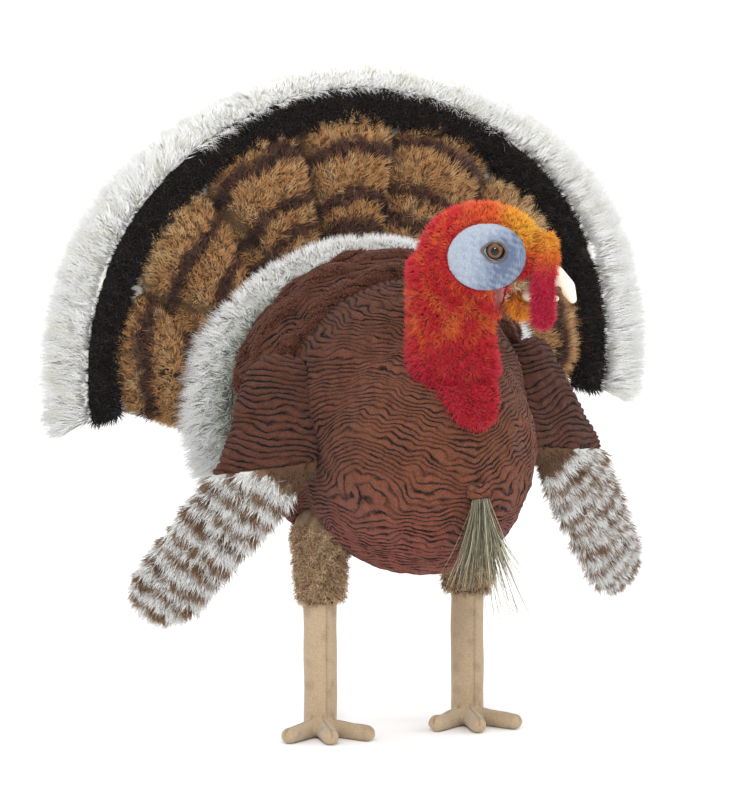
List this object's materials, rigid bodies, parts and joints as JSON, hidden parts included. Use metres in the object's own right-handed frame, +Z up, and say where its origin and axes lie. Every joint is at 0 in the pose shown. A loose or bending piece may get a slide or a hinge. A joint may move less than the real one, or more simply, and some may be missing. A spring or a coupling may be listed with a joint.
{
  "type": "plush turkey hand puppet",
  "caption": "Plush turkey hand puppet with a raised tail fan, hanging wings, dangling legs, and a neck, head and beak that a hand moves from inside",
  "frame": {"origin": "middle of the bounding box at the floor under the feet", "axes": "+Z up, the bird faces -Y, its left side is +X"},
  "size_m": [0.41, 0.2286, 0.439],
  "materials": {
    "puckered_plush": "puckered chocolate plush",
    "stuffing": "polyester fibre fill and batting",
    "lining_cloth": "woven lining cloth",
    "white_fur": "long white fur fabric",
    "barred_fur": "golden-brown fur fabric with dark bars",
    "black_plush": "short black plush",
    "tail_cloth": "short brown plush",
    "head_plush": "mottled red, orange and yellow plush",
    "face_velour": "blue-white velour",
    "beak_velour": "tan velour",
    "mouth_felt": "felt on a stiff board",
    "eye_plastic": "glossy moulded plastic",
    "rim_plastic": "black moulded plastic",
    "washer_plastic": "white moulded plastic",
    "wing_fur": "white fur fabric with brown bars",
    "thigh_curl": "curly brown plush",
    "leg_velour": "tan velour",
    "beard_hair": "long grey-olive hair fibre"
  },
  "bodies": {
    "body": {"body_shell": "puckered_plush", "body_stuffing": "stuffing", "hand_lining": "lining_cloth", "opening_hem": "lining_cloth", "mantle_front_fold": "puckered_plush", "mantle_middle_fold": "puckered_plush", "mantle_rear_fold": "puckered_plush", "rump_fringe": "white_fur", "neck_bib": "head_plush", "beard_tab": "puckered_plush"},
    "tail": {"tail_panel_1": "barred_fur", "tail_panel_2": "barred_fur", "tail_panel_3": "barred_fur", "tail_panel_4": "barred_fur", "tail_panel_5": "barred_fur", "tail_panel_6": "barred_fur", "tail_panel_7": "barred_fur", "tail_black_band": "black_plush", "tail_white_fringe": "white_fur", "tail_root": "puckered_plush", "tail_batting": "stuffing", "tail_back": "tail_cloth"},
    "neck": {"neck_sleeve": "head_plush", "neck_lining": "lining_cloth"},
    "head": {"head_shell": "head_plush", "head_stuffing": "stuffing", "finger_pocket": "lining_cloth", "upper_mouth_board": "mouth_felt", "upper_beak": "beak_velour", "face_patch_left": "face_velour", "face_patch_right": "face_velour", "eye_left": "eye_plastic", "eye_right": "eye_plastic", "eye_rim_left": "rim_plastic", "eye_rim_right": "rim_plastic", "eye_washer_left": "washer_plastic", "eye_washer_right": "washer_plastic"},
    "snood": {"snood": "head_plush"},
    "jaw": {"lower_beak": "beak_velour", "lower_mouth_board": "mouth_felt", "chin_plush": "head_plush"},
    "wing_left": {"wing_sleeve_left": "puckered_plush", "wing_feathers_left": "wing_fur", "wing_stuffing_left": "stuffing"},
    "wing_right": {"wing_sleeve_right": "puckered_plush", "wing_feathers_right": "wing_fur", "wing_stuffing_right": "stuffing"},
    "leg_left": {"thigh_cover_left": "thigh_curl", "foot_cover_left": "leg_velour", "leg_stuffing_left": "stuffing"},
    "leg_right": {"thigh_cover_right": "thigh_curl", "foot_cover_right": "leg_velour", "leg_stuffing_right": "stuffing"},
    "beard": {"beard_tuft": "beard_hair"}
  },
  "joints": [
    {"name": "neck_nod", "type": "hinge", "parent": "body", "child": "neck", "pos_m": [0, -0.05573, 0.251], "axis": [1, 0, 0], "range_deg": [-12, 30]},
    {"name": "head_turn", "type": "hinge", "parent": "neck", "child": "head", "pos_m": [0, -0.05573, 0.285], "axis": [0, 0, 1], "range_deg": [-122, 18]},
    {"name": "jaw_open", "type": "hinge", "parent": "head", "child": "jaw", "pos_m": [0.02443, -0.07482, 0.3035], "axis": [0.6157, 0.788, 0], "range_deg": [0, 18]},
    {"name": "snood_swing", "type": "hinge", "parent": "head", "child": "snood", "pos_m": [0.04802, -0.09578, 0.333], "axis": [-0.788, 0.6157, 0], "range_deg": [0, 65]},
    {"name": "wing_left_lift", "type": "hinge", "parent": "body", "child": "wing_left", "pos_m": [0.09, 0.01427, 0.239], "axis": [0, -1, 0], "range_deg": [0, 80]},
    {"name": "wing_right_lift", "type": "hinge", "parent": "body", "child": "wing_right", "pos_m": [-0.09, 0.01427, 0.239], "axis": [0, 1, 0], "range_deg": [0, 80]},
    {"name": "leg_left_swing", "type": "hinge", "parent": "body", "child": "leg_left", "pos_m": [0.053, 0.03027, 0.135], "axis": [1, 0, 0], "range_deg": [-25, 25]},
    {"name": "leg_right_swing", "type": "hinge", "parent": "body", "child": "leg_right", "pos_m": [-0.053, 0.03027, 0.135], "axis": [1, 0, 0], "range_deg": [-25, 25]},
    {"name": "tail_tilt", "type": "hinge", "parent": "body", "child": "tail", "pos_m": [0, 0.09407, 0.165], "axis": [-1, 0, 0], "range_deg": [0, 35]},
    {"name": "beard_swing", "type": "hinge", "parent": "body", "child": "beard", "pos_m": [0, -0.09923, 0.169], "axis": [-1, 0, 0], "range_deg": [0, 40]}
  ]
}
